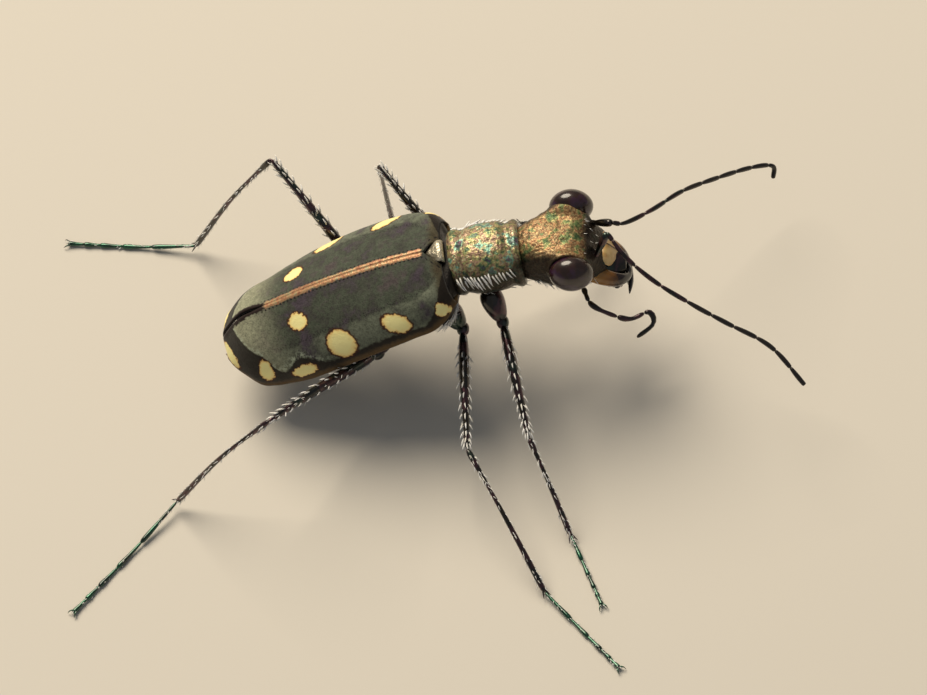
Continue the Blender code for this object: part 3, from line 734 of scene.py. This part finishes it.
def under_case(u, back, groove=0.0):
    """Section of the body under the wing cases, with a rounded belly."""
    out, up = circle(u)
    half, top, low, roof = eased(WING_CASE, back)
    half, top = half - UNDER_CASE, top - UNDER_CASE
    floor, half_floor = eased(BELLY, back)
    low = max(low, floor + 0.3)
    far, rise = arch(half, top, low, roof, np.arcsin(np.abs(out)))
    belly = half_floor + (half - half_floor) * (1 - np.abs(up) ** 1.5)
    side = np.where(up >= 0, np.sign(out) * far, belly * out) * (1 - groove)
    height = np.where(up >= 0, rise, low + (low - floor) * up * (1 - 1.5 * groove))
    spots = on_back(back, side, height)
    return spots + (grain(spots, 0.16) * 0.012)[:, None]


def upright(forward, half, top, bottom, u, squareness=2.2):
    """Points of rounded upright outlines across the body."""
    out, up = circle(u)
    out = np.sign(out) * np.abs(out) ** (2 / squareness)
    up = np.sign(up) * np.abs(up) ** (2 / squareness)
    middle = (top + bottom) / 2
    return np.stack([forward + 0 * out, half * out, middle + (top - middle) * up], -1)


def ringed(start_back, stop_back, folds, count=26):
    """Sections of the body between two distances back, pinched in at each fold."""
    backs = np.linspace(start_back, stop_back, count)
    pinch = sum((0.05 * bump_at(backs, fold, 0.09) for fold in folds), 0 * backs)
    return [partial(under_case, back=back, groove=groove) for back, groove in zip(backs, pinch)]


def prothorax(u, share):
    """The prothorax: a barrel with a ring-shaped fold near each end."""
    size = eased(PROTHORAX_GIRTH, share)
    middle = (PROTHORAX_TOP + PROTHORAX_BOTTOM) / 2
    half_height = (PROTHORAX_TOP - PROTHORAX_BOTTOM) / 2
    forward = PROTHORAX_BACK + share * (PROTHORAX_FRONT - PROTHORAX_BACK)
    spots = upright(forward, PROTHORAX_HALF_WIDTH * size, middle + half_height * size,
                    middle - half_height * (1 + size) / 2, u)
    out = unit(spots - np.array([0, 0, middle]) - forward[:, None] * np.array([1, 0, 0]))
    return spots + out * prothorax_relief(spots)[:, None]


def flank(u, v):
    """Painted shade down the side of the prothorax, from 0 on its back to nearly 1 on its flanks."""
    first = 0.11 - 0.05 * np.clip((v - 0.8) / 0.08, 0, 1)
    return 0.9 * np.clip((np.minimum(u, 1 - u) - first) / 0.08, 0, 1)


def prothorax_relief(spots):
    """Rise of the sculpture: cross wrinkles, low lumps, and a fine line along the middle."""
    wrinkles = grain(spots, (0.08, 0.2, 0.2)) * 0.008 + grain(spots, 0.09) * 0.01
    lumps = grain(spots, 0.42) * 0.016
    line = bump_at(spots[:, 1], 0, 0.035) * (spots[:, 2] > 6) * 0.03
    return wrinkles + lumps - line


def in_head(spots):
    """Turn points of the head's frame to the beetle's."""
    turn = Matrix.Rotation(HEAD_YAW, 3, "Z") @ Matrix.Rotation(HEAD_ROLL, 3, "X")
    return np.asarray(spots, float) @ np.array(turn).T + NECK


def skull_place(u, share):
    """The skull before its sculpture, in the head's frame."""
    low, high = HEAD_PROFILE[0][0], HEAD_PROFILE[-1][0]
    forward = low + share * (high - low)
    half, top, bottom = eased(HEAD_PROFILE, forward)
    spots = upright(forward, half, top, bottom, u, 2.3)
    brow = bump_at(spots[:, 0], *BROW_FORWARD) * bump_at(np.abs(spots[:, 1]), *BROW_OUT)
    spots[:, 2] += BROW_RISE * brow * np.clip(spots[:, 2] * 3, 0, 1)
    return spots


def skull_relief(spots):
    """Rise of the skull's sculpture: ridges beside the eyes, wrinkles, and the feelers' sockets."""
    above = np.clip(spots[:, 2] * 2, 0, 1)
    beside = np.clip((np.abs(spots[:, 1]) - 0.35) / 0.3, 0, 1)
    ridges = np.sin(np.abs(spots[:, 1]) * 2 * np.pi / 0.13 + grain(spots, 0.3)) * 0.006 * beside * above
    wrinkles = grain(spots, (0.14, 0.09, 0.09)) * 0.014 + grain(spots, 0.35) * 0.03
    rise = ridges + wrinkles
    for side in (1, -1):
        gap = np.linalg.norm((spots - EYE_CENTRE * (1, side, 1)) / EYE_SIZE, axis=1)
        rise = rise + 0.1 * bump_at(gap, 1.12, 0.14) * above
        socket = np.linalg.norm(spots - FEELER_SOCKET * (1, side, 1), axis=1)
        rise = rise - 0.16 * bump_at(socket, 0, 0.2) + 0.05 * bump_at(socket, 0.3, 0.08)
    rise = rise - 0.09 * bump_at(spots[:, 0], 2.5, 0.3) * bump_at(spots[:, 1], 0, 0.3) * above
    return rise


def skull_on(u, v):
    """The same by the grid's own v."""
    return skull_place(u, inner(v))


def skull_shade(u, v):
    """How dark the skull is: darker towards the front of the face, and painted shade on the temples behind
    the eyes.
    """
    forward, out, _ = skull_on(u, v).T
    # painted shade on the temples behind the eyes
    temple = np.clip((np.abs(out) - 0.5 - 0.26 * forward) / 0.34, 0, 1) * (forward < 1.9)
    return np.maximum(np.clip((forward - 2.25) / 0.35, 0, 0.95), 0.92 * temple)


def skull(u, share):
    """The skull with its sculpture, in the beetle's frame."""
    spots = skull_place(u, share)
    axis = spots * (1, 0, 0)
    return in_head(spots + unit(spots - axis) * skull_relief(spots)[:, None])


def eyeball(side):
    def shape(u, v):
        turn, tilt = 2 * np.pi * u, np.pi * (v - 0.5)
        ball = np.stack([np.cos(tilt) * np.cos(turn), np.cos(tilt) * np.sin(turn), np.sin(tilt)], -1)
        ball[:, 1] *= 1 - 0.1 * ball[:, 0] ** 2
        return in_head(ball * EYE_SIZE + EYE_CENTRE * (1, side, 1))

    return shape


def labrum(u, v):
    """The upper lip: a shield with a low middle ridge and a lobed front edge."""
    at = bunched(v)
    rows = [(row, *values) for row, values in zip(np.linspace(0, 1, len(LABRUM_PROFILE)), LABRUM_PROFILE)]
    forward, half, height = eased(rows, at)
    out, up = circle(u)
    outward = unit(np.array([0.8, 0, 0.55]))
    blunt = np.sqrt(np.maximum(0, 1 - np.abs(2 * at - 1) ** 10))
    ridge = 0.035 * bump_at(out, 0, 0.07) * (up > 0)
    raised = blunt * 0.13 * up - 0.14 * out ** 2 + ridge
    lobes = 0.05 * np.cos(out * 3 * np.pi) * at ** 4
    spots = np.stack([forward + lobes * 0.3, half * out * (0.3 + 0.7 * blunt), height - lobes], -1)
    spots = spots + raised[:, None] * outward
    return in_head(spots + (grain(spots, 0.2) * 0.01)[:, None])


def build_jaw(side, looks):
    points = in_head(MANDIBLES[side])
    surfaces = [(rod(points, MANDIBLE_RADII, blunt=30, flat=0.75), (20, 40), None,
                 {"share": lambda u, v: bunched(v)})]
    inward = -1 if side == "left" else 1
    for share, length in MANDIBLE_TEETH:
        root, heading = course(points, [share])
        aim = unit(np.array([[-0.55, inward, -0.15]]))
        tooth = np.vstack([root, root + aim * length * 0.6, root + (aim + heading * 0.4) * length])
        surfaces.append((rod(tooth, TOOTH_RADII, blunt=30), (10, 10), None, {"share": 0.75}))
    form(f"jaw_{side}", surfaces, looks["jaw"], [f"mandible_{side}"])


def build_head(looks):
    form("skull", [(drawn_in(skull), (210, 190), None,
                    {"height": lambda u, v: skull_relief(skull_on(u, v)) * 1.5, "face": skull_shade})],
         looks["head"], ["head"])
    for side, name in ((1, "left"), (-1, "right")):
        form(f"eyeball_{name}", [(eyeball(side), (96, 64))], looks["eye"], [f"eye_{name}"])
        build_jaw(name, looks)
    form("upper_lip", [(labrum, (72, 40), lambda u, v: (0.5 + 0.5 * circle(u)[0], v))],
         looks["ivory"], ["labrum"])
    sections = [partial(lambda u, row: in_head(upright(*row, u)), row=row) for row in MOUTH_PLATE]
    form("lower_lip", [(through(sections), (40, 30))], looks["leg"])
    for name, points in PALPS.items():
        lengths = [(rod(in_head(points), PALP_RADII, cut), (14, 16)) for cut in pairwise(PALP_CUTS)]
        form(f"{name}_shell", lengths, looks["leg"], [name])


def build_feelers(looks):
    for side, points in ANTENNAE.items():
        scape = rod(points[:2], SCAPE_RADII), (18, 16)
        rest = [(rod(points[1:], FEELER_RADII, (near, far + 0.002), blunt=20), (14, 18))
                for near, far in pairwise(FEELER_CUTS)]
        form(f"feeler_{side}_base", [scape, *rest[:METALLIC_FEELER_CUTS]], looks["leg"],
             [f"antenna_{side}_scape", f"antenna_{side}_stem"])
        form(f"feeler_{side}_whip", rest[METALLIC_FEELER_CUTS:], looks["whip"], [f"antenna_{side}_tip"])


def build_trunk(looks):
    """The body without head and wing cases; gives the surfaces that the bristles stand on."""
    # the plate's rear is darkened towards the seam's copper; its pale front colour is a painted glint
    open_shell("shield_plate", (scutellum, (30, 34), None, {"face": lambda u, v: 0.75 * (1 - v)}),
               looks["plate"], ["scutellum"], SCUTELLUM_WALL)
    # the pronotum's flanks are darkened by painted shade
    form("pronotum", [(drawn_in(prothorax), (220, 200), None,
                       {"height": lambda u, v: prothorax_relief(prothorax(u, v)) * 3, "face": flank})],
         looks["bronze"], ["prothorax"])
    waist = [partial(lambda u, row: upright(*row, u, squareness=2.8), row=row) for row in WAIST]
    shapes = {
        "mesothorax": through(waist + ringed(0.75, 1.55, (), 3)),
        "metathorax": through(ringed(1.5, 5.05, (1.5, 4.6))),
        "abdomen": through(ringed(5.0, 9.2, (5.6, 6.4, 7.2, 7.9, 8.5), 60)),
    }
    for name, shape in shapes.items():
        # the mesothorax, sunk between the prothorax and the wing cases, is painted nearly black: painted
        # shade
        shade = {"face": 0.98 if name == "mesothorax" else 0.0}
        form(f"{name}_shell", [(shape, (110, 90), None, shade)], looks["belly"], [name])
    return shapes


def leg_lines(points):
    """The middle lines of a leg's four lengths."""
    coxa_root, hip, knee, ankle, toe = (np.array(point, float) for point in points)
    shin = (knee + ankle) / 2 + np.array([0, 0, TIBIA_BOW])
    heel = ankle * (1, 1, 0) + np.array([0, 0, ankle[2] - 0.2])
    sole = ankle + (toe - ankle) * 0.45
    sole[2] = toe[2] = FOOT_HEIGHT
    return {"coxa": (coxa_root, hip), "femur": (hip, knee), "tibia": (knee, shin, heel),
            "tarsus": (heel, sole, toe)}


def end_pair(line, share):
    """The root of two thorns near the end of a line, the way along it, and the way to each side."""
    root, heading = course(line, [share])
    sideways = unit(np.cross(heading, (0, 0, 1)))
    return [(root, heading, sideways * way) for way in (1, -1)]


def build_legs(looks):
    """Each leg's four pieces; gives the surfaces that the bristles stand on."""
    beds = {}
    for leg, points in LEGS.items():
        lines = leg_lines(points)
        hip, knee = lines["femur"]
        onward = unit(knee - hip)
        ring = (hip - TROCHANTER_REACH[0] * onward, hip, hip + TROCHANTER_REACH[1] * onward)
        form(f"{leg}_hip", [(rod(lines["coxa"], COXA_RADII, blunt=6), (28, 24)),
                            (rod(ring, TROCHANTER_RADII, blunt=4), (20, 16))], looks["leg"], [f"{leg}_coxa"])
        bowed = (hip, (hip + knee) / 2 + np.array([0, 0, FEMUR_BOW]), knee)
        beds[leg] = {"femur": rod(bowed, FEMUR_RADII, flat=0.85),
                     "tibia": rod(lines["tibia"], TIBIA_RADII, blunt=24),
                     "tarsus": rod(lines["tarsus"], ((0, 0.08), (1, 0.08)), blunt=24)}
        form(f"{leg}_thigh", [(beds[leg]["femur"], (24, 60))], looks["leg"], [f"{leg}_femur"])
        shin = [(beds[leg]["tibia"], (18, 60))]
        for end, heading, sideways in end_pair(lines["tibia"], SPUR_ROOT):
            aim = unit(heading * (1, 1, 0.5) + sideways * 0.35 + (0, 0, -0.06))
            shin.append((rod(np.vstack([end, end + aim * SPUR_LENGTH]), SPUR_RADII, blunt=30), (8, 8)))
        form(f"{leg}_shin", shin, looks["leg"], [f"{leg}_tibia"])
        foot = [(rod(lines["tarsus"], TOE_RADII, (near, far + 0.01), blunt=16), (14, 14))
                for near, far in pairwise(TOE_CUTS)]
        for end, heading, sideways in end_pair(lines["tarsus"], CLAW_ROOT):
            bend = heading * 0.6 + sideways * 0.4 + (0, 0, 0.1)
            tip = heading * 0.95 + sideways * 0.5 + (0, 0, -0.18)
            claw = end + np.vstack([0 * bend, bend, tip]) * CLAW_LENGTH
            foot.append((rod(claw, CLAW_RADII, blunt=30), (8, 10)))
        form(f"{leg}_foot", foot, looks["foot"], [f"{leg}_tarsus"])
    return beds


# bristles

def rooted(shape, u, v):
    """Places on a round surface with the way out of it and the way along it."""
    spots = shape(u, v)
    out = unit(spots - shape((u + 0.5) % 1, v))
    step = 0.004
    onward = unit(shape(u, np.clip(v + step, 0, 1)) - shape(u, np.clip(v - step, 0, 1)))
    return spots, out, onward


def bed(shape, count, u_span, v_span, length, lean, drift=0.25, tile=(0, 0, 1, 1), thick=0.034, row=False,
        hang=0):
    """Bristles on a patch of a surface: root, aim, way out, length, thickness, and place on its unwrap. They
    are strewn, or in a row stand evenly; hang turns them down the flank."""
    u = CHANCE.uniform(*u_span, count) % 1
    v = np.linspace(*v_span, count) if row else CHANCE.uniform(*v_span, count)
    spots, out, onward = rooted(shape, u, v)
    aims = out * (1 - abs(lean)) + onward * lean + CHANCE.normal(0, drift, (count, 3)) * 0.5
    aims = unit(aims - np.array([0, 0, hang]))
    chart = np.stack([tile[0] + u * tile[2], tile[1] + v * tile[3]], -1)
    return spots - out * BRISTLE_ROOT, aims, out, CHANCE.uniform(*length, count), np.full(count, thick), chart


def coat(name, beds, look):
    """All bristles of a region as one mesh: three-sided tapered spikes, bent a little along their lie."""
    roots, aims, outs, lengths, thick, chart = (np.concatenate([rows[column] for rows in beds])
                                                for column in range(6))
    count = len(roots)
    sideways = unit(np.cross(aims, outs + 1e-3))
    upward = np.cross(sideways, aims)
    rings = [(at, size, corner) for at, size in BRISTLE_RINGS for corner in range(3)]
    rings.append((1, 0, 1.5))    # the tip
    spots = np.zeros((count, 10, 3))
    for place, (at, size, corner) in enumerate(rings):
        turn = 2 * math.pi * corner / 3
        ring = sideways * math.cos(turn) + upward * math.sin(turn)
        middle = roots + (aims * at - outs * BRISTLE_BEND * at ** 2) * lengths[:, None]
        spots[:, place] = middle + ring * thick[:, None] * size / 2
    patch = np.array([(corner / 3, at) for at, _, corner in rings])
    sides = [(row + corner, row + (corner + 1) % 3) for row in (0, 3, 6) for corner in range(3)]
    faces = [(2, 1, 0), *((near, far, far + 3, near + 3) for near, far in sides[:6]),
             *((near, far, 9) for near, far in sides[6:])]
    faces = [tuple(corner + 10 * item for corner in face) for item in range(count) for face in faces]
    data = bpy.data.meshes.new(name)
    data.from_pydata(world(spots.reshape(-1, 3)), [], faces)
    marks = (chart[:, None, :] + (patch - 0.5) * BRISTLE_PATCH).reshape(-1, 2)
    holders = np.zeros(len(data.loops), np.int32)
    data.loops.foreach_get("vertex_index", holders)
    layer = data.uv_layers.new(name="OFBake")
    layer.data.foreach_set("uv", marks[holders].astype(np.float32).ravel())
    piece(name, data, look)


def build_bristles(look, legs, trunk):
    """White bristles: even rows and strewn ones on the legs, rows on the pronotum's flanks, and a dense
    coat on the underside."""
    for leg, surfaces in legs.items():
        thigh, shin, foot = ((tile, 0, 0.3, 1) for tile in (0, 0.33, 0.66))
        rows = [bed(surfaces["femur"], 11, (place - 0.015, place + 0.015), (0.3 + place / 20, 0.87),
                    (0.3, 0.42), 0.6, 0.14, thigh, 0.085, row=True) for place in (0.02, 0.25, 0.48, 0.74)]
        rows += [bed(surfaces["femur"], 16, (place - 0.03, place + 0.03), (0.12, 0.86), (0.22, 0.34), 0.6,
                     tile=thigh) for place in (0.12, 0.38, 0.6, 0.88)]
        rows += [bed(surfaces["tibia"], 26, (place - 0.03, place + 0.03), (0.1, 0.9), (0.2, 0.32), 0.66,
                     tile=shin) for place in (0.0, 0.2, 0.4, 0.6, 0.8)]
        rows.append(bed(surfaces["tarsus"], 46, (-0.08, 0.58), (0.08, 0.92), (0.1, 0.2), 0.6, tile=foot))
        coat(f"bristles_{leg}", rows, look)
    collar = drawn_in(prothorax)
    rows = [bed(collar, count, (start, start + 0.02), (0.1, last), (0.4, 0.56), 0.35, 0.16, thick=0.1,
                row=True, hang=0.7)
            for count, start, last in ((16, 0.16, 0.8), (16, 0.82, 0.8), (9, 0.185, 0.5), (9, 0.795, 0.5))]
    rows.append(bed(collar, 90, (0.34, 0.66), (0.08, 0.94), (0.25, 0.45), 0.6))
    coat("bristles_pronotum", rows, look)
    face = drawn_in(skull)
    rows = [bed(face, 70, span, (0.15, 0.85), (0.2, 0.4), 0.5) for span in ((0.28, 0.42), (0.58, 0.72))]
    rows.append(bed(face, 12, (0.86, 1.14), (0.74, 0.95), (0.12, 0.2), 0.7, thick=0.025))
    coat("bristles_head", rows, look)
    rows = []
    for place, (name, count) in enumerate((("mesothorax", 160), ("metathorax", 520), ("abdomen", 520))):
        tile = (0, place / 3, 1, 0.3)
        rows += [bed(trunk[name], count, span, (0.06, 0.94), (0.3, 0.55), 0.55, tile=tile)
                 for span in ((0.27, 0.4), (0.6, 0.73))]
        rows.append(bed(trunk[name], count // 4, (0.4, 0.6), (0.06, 0.94), (0.15, 0.3), 0.7, tile=tile))
    coat("bristles_underside", rows, look)


# studio

def build_studio():
    """A pale floor, a warm key lamp from behind on the left, a weak cool fill, and a pale sky."""
    floor = bpy.data.meshes.new("floor")
    mesh = bmesh.new()
    bmesh.ops.create_grid(mesh, x_segments=1, y_segments=1, size=0.6)
    mesh.to_mesh(floor)
    mesh.free()
    # card: no gloss, so that only the shadows show on it
    paper = start("Matt pale card", Roughness=0.9, Specular_IOR_Level=0.2, Base_Color=tone("#d9d3c8"))[0]
    floor.materials.append(paper)
    ground = placed("floor", floor)
    ground.location = (0, 0, -0.00002)
    lamps = (("key", (-0.22, 0.6, 0.77), 0.42, 0.3, 2.25, "#fff2dc"),
             ("fill", (0.5, -0.75, 0.6), 0.7, 0.8, 0.08, "#eef3ff"))
    for name, aim, distance, size, power, colour in lamps:
        lamp = bpy.data.lights.new(name, "AREA")
        lamp.shape = "DISK"
        lamp.size = size
        lamp.energy = power
        lamp.color = tone(colour)[:3]
        stand = placed(name, lamp)
        aim = Vector(aim).normalized()
        stand.location = aim * distance
        stand.rotation_euler = aim.to_track_quat("Z", "Y").to_euler()
    sky = bpy.data.worlds.new("studio")
    sky.use_nodes = True
    sky.node_tree.nodes["Background"].inputs["Color"].default_value = tone("#dfe4ea")
    sky.node_tree.nodes["Background"].inputs["Strength"].default_value = 0.22
    bpy.context.scene.world = sky
    bpy.context.scene.view_settings.view_transform = "Standard"


def build_camera():
    """A long lens at the photograph's viewing angle, so far off that it sees almost no perspective."""
    right = Vector(SIGHT_RIGHT).normalized()
    toward = right.cross(Vector(SIGHT_UP)).normalized()
    upward = toward.cross(right)
    lens = bpy.data.cameras.new("camera")
    lens.sensor_width = SENSOR_WIDTH
    lens.lens = SENSOR_WIDTH * CAMERA_DISTANCE / PICTURE_WIDTH
    lens.clip_start = 0.01
    lens.clip_end = 10
    camera = placed("camera", lens)
    turn = Matrix((right, upward, toward)).transposed().to_4x4()
    middle = Vector(world(SIGHT_MIDDLE))
    camera.matrix_world = Matrix.Translation(middle + toward * CAMERA_DISTANCE * MM) @ turn
    bpy.context.scene.camera = camera


def main():
    metal = ((0.32, "#5a4c66"), (0.4, "#64845c"), (0.46, "#c4b87c"), (0.51, "#b08878"), (0.56, "#c8be8c"),
             (0.62, "#8cc4ac"), (0.7, "#846474"))
    gold = ((0.32, "#4a6a3e"), (0.41, "#88925a"), (0.46, "#c8a874"), (0.51, "#a4704a"), (0.56, "#ccb480"),
            (0.62, "#946844"), (0.7, "#5a7a4a"))
    # pale cream that stands in for the plate's white glint: a painted highlight
    pale = ((0.3, "#b0a484"), (0.6, "#e2d8c0"))
    green = ((0.3, "#141a20"), (0.45, "#1c342c"), (0.6, "#3c3226"), (0.75, "#4a3a2c"))
    dark = ((0.3, "#0f1412"), (0.4, "#2a2212"), (0.47, "#1a1412"), (0.54, "#4a2a30"), (0.6, "#1c1614"),
            (0.7, "#26382c"))
    toes = ((0.3, "#101a16"), (0.5, "#1f5a40"), (0.7, "#2a2a22"))
    looks = {
        "velvet_left": velvet_case("left"),
        "velvet_right": velvet_case("right"),
        "bronze": bronze_cuticle("Granular olive bronze cuticle", metal, contrast=(0.28, 1.15)),
        "head": bronze_cuticle("Granular gold and green head cuticle", gold, roughness=0.42,
                               contrast=(0.25, 1.05)),
        "plate": bronze_cuticle("Polished bronze plate, painted pale glint", pale, roughness=0.25, contrast=(0.7, 1.1)),
        "belly": bronze_cuticle("Dark green bronze belly", green, "belly", roughness=0.55, grit=0.2),
        "eye": eye_lens(),
        "ivory": ivory_horn(),
        "jaw": jaw_horn(),
        "leg": leg_cuticle("Dark metallic leg shell", dark),
        "foot": leg_cuticle("Green bronze foot shell", toes),
        "whip": leg_cuticle("Dull feeler shell", ((0.3, "#14110f"), (0.6, "#2c241e")), roughness=0.5),
    }
    build_camera()
    build_studio()
    build_wing_cases(looks)
    trunk = build_trunk(looks)
    build_head(looks)
    build_feelers(looks)
    build_bristles(white_bristle(), build_legs(looks), trunk)


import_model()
main()
